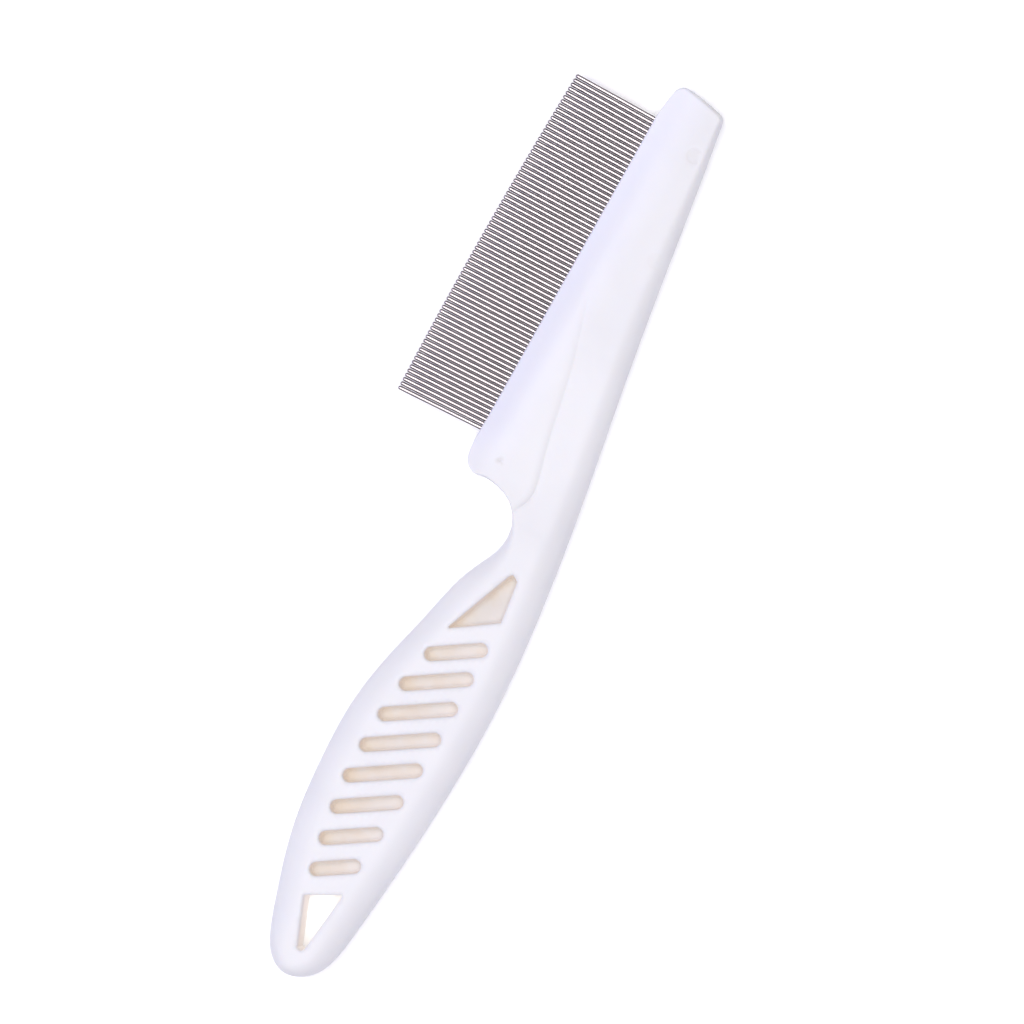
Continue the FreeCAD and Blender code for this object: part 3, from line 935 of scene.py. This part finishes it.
def steel_material():
    """Drawn stainless wire: the metal's own colour along its crests, and painted shade, near black, on
    the flanks that face each other.
    """
    material, tree, shader, at = new_material("polished_wire")
    stretch = node(tree, "ShaderNodeMapping")
    stretch.inputs["Scale"].default_value = (0.02, 1.0, 1.0)
    tree.links.new(at, stretch.inputs["Vector"])
    lines = noise(tree, stretch.outputs["Vector"], 9000.0, 3.0)
    spots = noise(tree, at, 900.0, 3.0)
    crest = mixed(tree, ramp(tree, spots, 0.35, 0.7), *BRIGHT_STEELS)
    split = tree.nodes.new("ShaderNodeSeparateXYZ")
    tree.links.new(at, split.inputs[0])
    # Painted shade: the flanks, away from the crest, are drawn near black.
    height = math_node(tree, "ABSOLUTE", math_node(tree, "SUBTRACT", split.outputs["Z"], ORIGIN.z))
    painted_shade_height = math_node(tree, "ADD", height, spread(tree, lines, -FLANK_WANDER, FLANK_WANDER))
    colour = mixed(tree, ramp(tree, painted_shade_height, FLANK_FROM, FLANK_TO), FLANK_PAINTED_SHADE, crest)
    tree.links.new(colour, shader.inputs["Base Color"])
    shader.inputs["Metallic"].default_value = 1.0
    drawn = spread(tree, lines, 0.3, 0.38)
    rubbed = spread(tree, spots, 0.0, 0.05)
    tree.links.new(math_node(tree, "ADD", drawn, rubbed), shader.inputs["Roughness"])
    bumped(tree, shader, lines, 0.06, 0.00001)
    return material


def floor_material():
    """Matt white paper, with a weak glow that lightens the comb's shadow."""
    material, tree, shader, at = new_material("white_paper")
    grain = noise(tree, at, 600.0, 4.0)
    colour = mixed(tree, spread(tree, grain), *PAPER_WHITES)
    tree.links.new(colour, shader.inputs["Base Color"])
    shader.inputs["Roughness"].default_value = 0.9
    shader.inputs["Specular IOR Level"].default_value = 0.0
    shader.inputs["Emission Color"].default_value = (1.0, 1.0, 1.0, 1.0)
    shader.inputs["Emission Strength"].default_value = PAPER_GLOW
    return material


# ---------------------------------------------------------------- pieces

plastic = plastic_material()
steel = steel_material()

handle = make_handle()
handle.data.materials.append(plastic)
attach(handle, "root")
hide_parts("handle")

for index in range(PIN_COUNT):
    pin = make_pin(index)
    pin.data.materials.append(steel)
    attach(pin, "root")
    first = index // PINS_PER_NODE * PINS_PER_NODE
    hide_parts(f"tooth_pins_{first + 1:02d}_to_{first + PINS_PER_NODE:02d}")

# ---------------------------------------------------------------- floor, light and camera

FLOOR_SIZE = 3.0
FLOOR_GAP = 0.02 * MM  # keeps the sheet clear of the comb's lower face
VIEW_WIDTH = 195.7  # plan millimetres across the picture
VIEW_CENTRE = (12.87, -10.7)
VIEW_TURN = math.radians(29.53)  # of the plan's X axis below the picture's horizontal
CAMERA_DISTANCE = 1.25
CAMERA_LEAN = (0.097, 0.032)  # of the line of sight from the vertical, along plan X and Y
SENSOR_WIDTH = 36.0
CLIP_START = 0.01
# Softboxes aimed at the comb: (name, metres right, up and high in the picture, size, power, colour).
SOFTBOXES = [
    ("softbox_top", (0.0, 0.0, 1.5), (1.1, 1.1), 23.6, (1.0, 0.985, 0.95)),
    ("softbox_left", (-0.8, 0.15, 0.6), (0.5, 0.9), 2.8, (0.55, 0.57, 1.0)),
    ("softbox_right", (0.55, -0.75, 0.55), (0.9, 0.5), 1.9, (0.64, 0.63, 1.0)),
]
SKY_COLOUR = (0.75, 0.74, 1.0)
SKY_STRENGTH = 0.14

bpy.ops.mesh.primitive_plane_add(size=FLOOR_SIZE)
floor = bpy.context.object
floor.name = "floor"
floor.location.z = -FLOOR_GAP
floor.data.materials.append(floor_material())

picture_right = Vector((math.cos(VIEW_TURN), math.sin(VIEW_TURN), 0))
picture_up = Vector((-math.sin(VIEW_TURN), math.cos(VIEW_TURN), 0))


def softbox(name, stand, size, power, colour):
    """A rectangular light at a point along the picture's own directions, aimed at the comb."""
    right, up, high = stand
    light = bpy.data.lights.new(name, "AREA")
    light.shape = "RECTANGLE"
    light.size, light.size_y = size
    light.energy = power
    light.color = colour
    made = bpy.data.objects.new(name, light)
    made.location = picture_right * right + picture_up * up + Vector((0, 0, high))
    towards_comb = Vector((0, 0, 0)) - made.location
    made.rotation_euler = towards_comb.to_track_quat("-Z", "Y").to_euler()
    bpy.context.scene.collection.objects.link(made)


for settings in SOFTBOXES:
    softbox(*settings)

world = bpy.data.worlds.new("studio")
world.use_nodes = True
background = world.node_tree.nodes["Background"]
background.inputs["Color"].default_value = (*SKY_COLOUR, 1.0)
background.inputs["Strength"].default_value = SKY_STRENGTH
bpy.context.scene.world = world

camera_data = bpy.data.cameras.new("camera")
camera = bpy.data.objects.new("camera", camera_data)
bpy.context.scene.collection.objects.link(camera)
centre = place([(VIEW_CENTRE[0], VIEW_CENTRE[1], 0.0)])[0]
towards_camera = Vector((*CAMERA_LEAN, 1.0)).normalized()
camera_right = (picture_right - picture_right.dot(towards_camera) * towards_camera).normalized()
camera_up = towards_camera.cross(camera_right)
turned = Matrix((camera_right, camera_up, towards_camera)).transposed().to_4x4()
camera.matrix_world = Matrix.Translation(Vector(centre) + CAMERA_DISTANCE * towards_camera) @ turned
camera_data.sensor_width = SENSOR_WIDTH
camera_data.lens = camera_data.sensor_width * CAMERA_DISTANCE / (VIEW_WIDTH * MM)
camera_data.clip_start = CLIP_START
bpy.context.scene.camera = camera
bpy.context.scene.view_settings.view_transform = "Standard"
